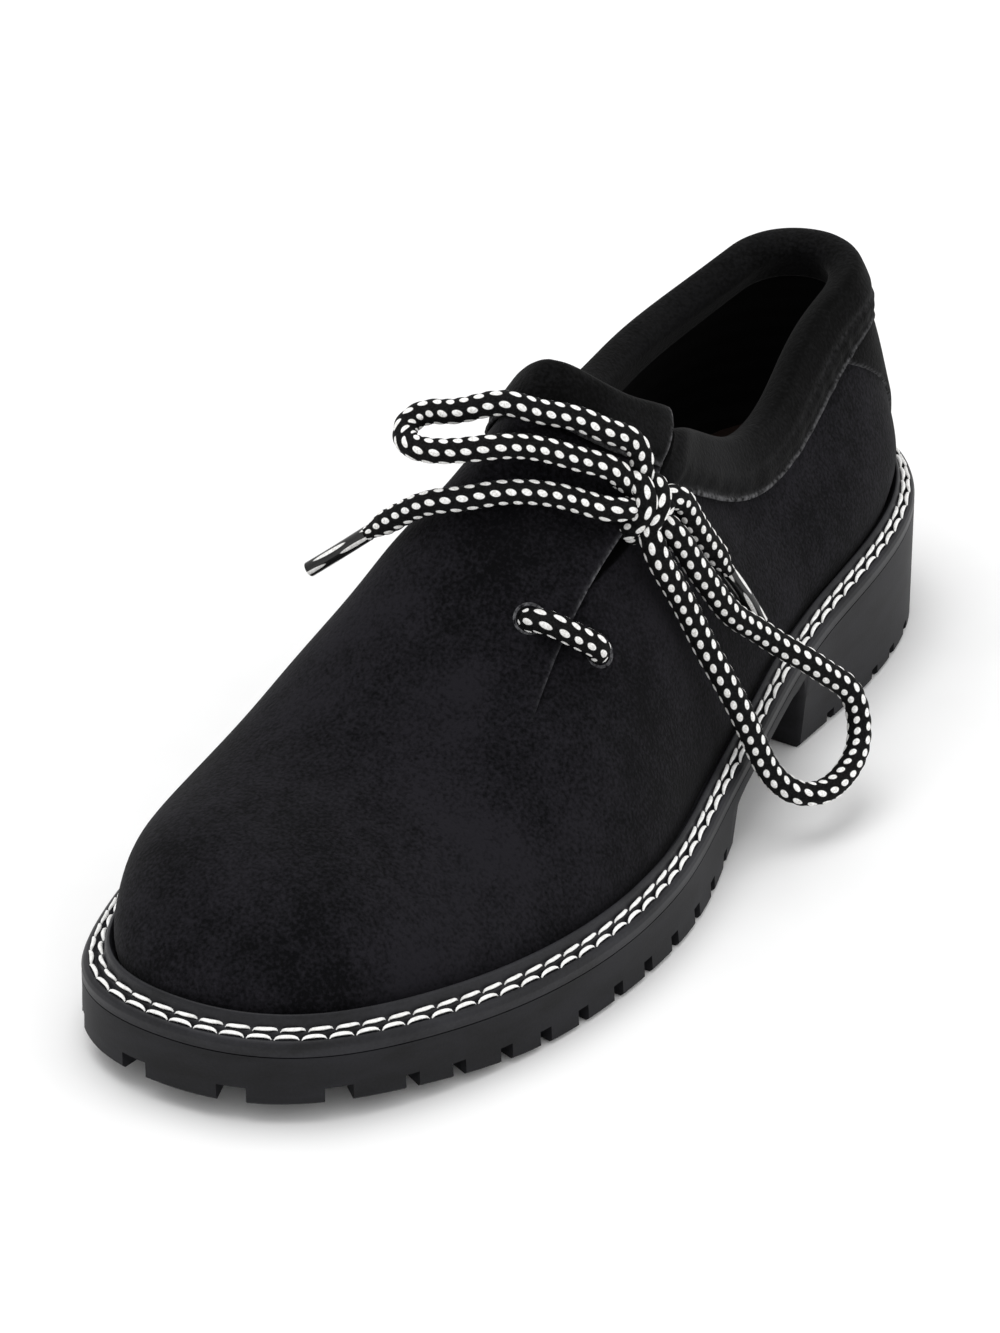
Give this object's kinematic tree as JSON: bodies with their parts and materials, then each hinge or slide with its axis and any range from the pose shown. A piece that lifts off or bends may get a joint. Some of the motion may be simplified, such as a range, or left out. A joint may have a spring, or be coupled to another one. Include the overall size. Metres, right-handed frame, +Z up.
{
  "type": "side-laced suede welted shoe",
  "caption": "Low left shoe in black suede: high flap laced on the outer side, rolled collar, stitched welt, lugged rubber sole with a block heel.",
  "frame": {"origin": "on the floor, under the middle of the sole's box", "axes": "+Y points to the toe, +X to the foot's inner side, +Z up"},
  "size_m": [0.1218, 0.3, 0.118],
  "materials": {
    "sole_rubber": "moulded, matt, slightly smoother on the side",
    "welt_rubber": "satin, with a double row of white stitches",
    "insole_leather": "smooth brown leather",
    "upper_suede": "short-napped black suede",
    "collar_suede": "short-napped black suede, padded",
    "lace": "round braid, black with white dots",
    "aglet": "clear film over the braid"
  },
  "bodies": {
    "root": {"outsole": "sole_rubber", "welt": "welt_rubber", "insole": "insole_leather", "upper": "upper_suede", "collar_band": "collar_suede", "heel_counter": "collar_suede", "lace_bar": "lace", "lace_knot": "lace", "lace_loop_inner": "lace", "lace_loop_outer": "lace", "lace_end_inner": "lace", "lace_end_outer": "lace", "aglet_inner": "aglet", "aglet_outer": "aglet"}
  },
  "joints": []
}
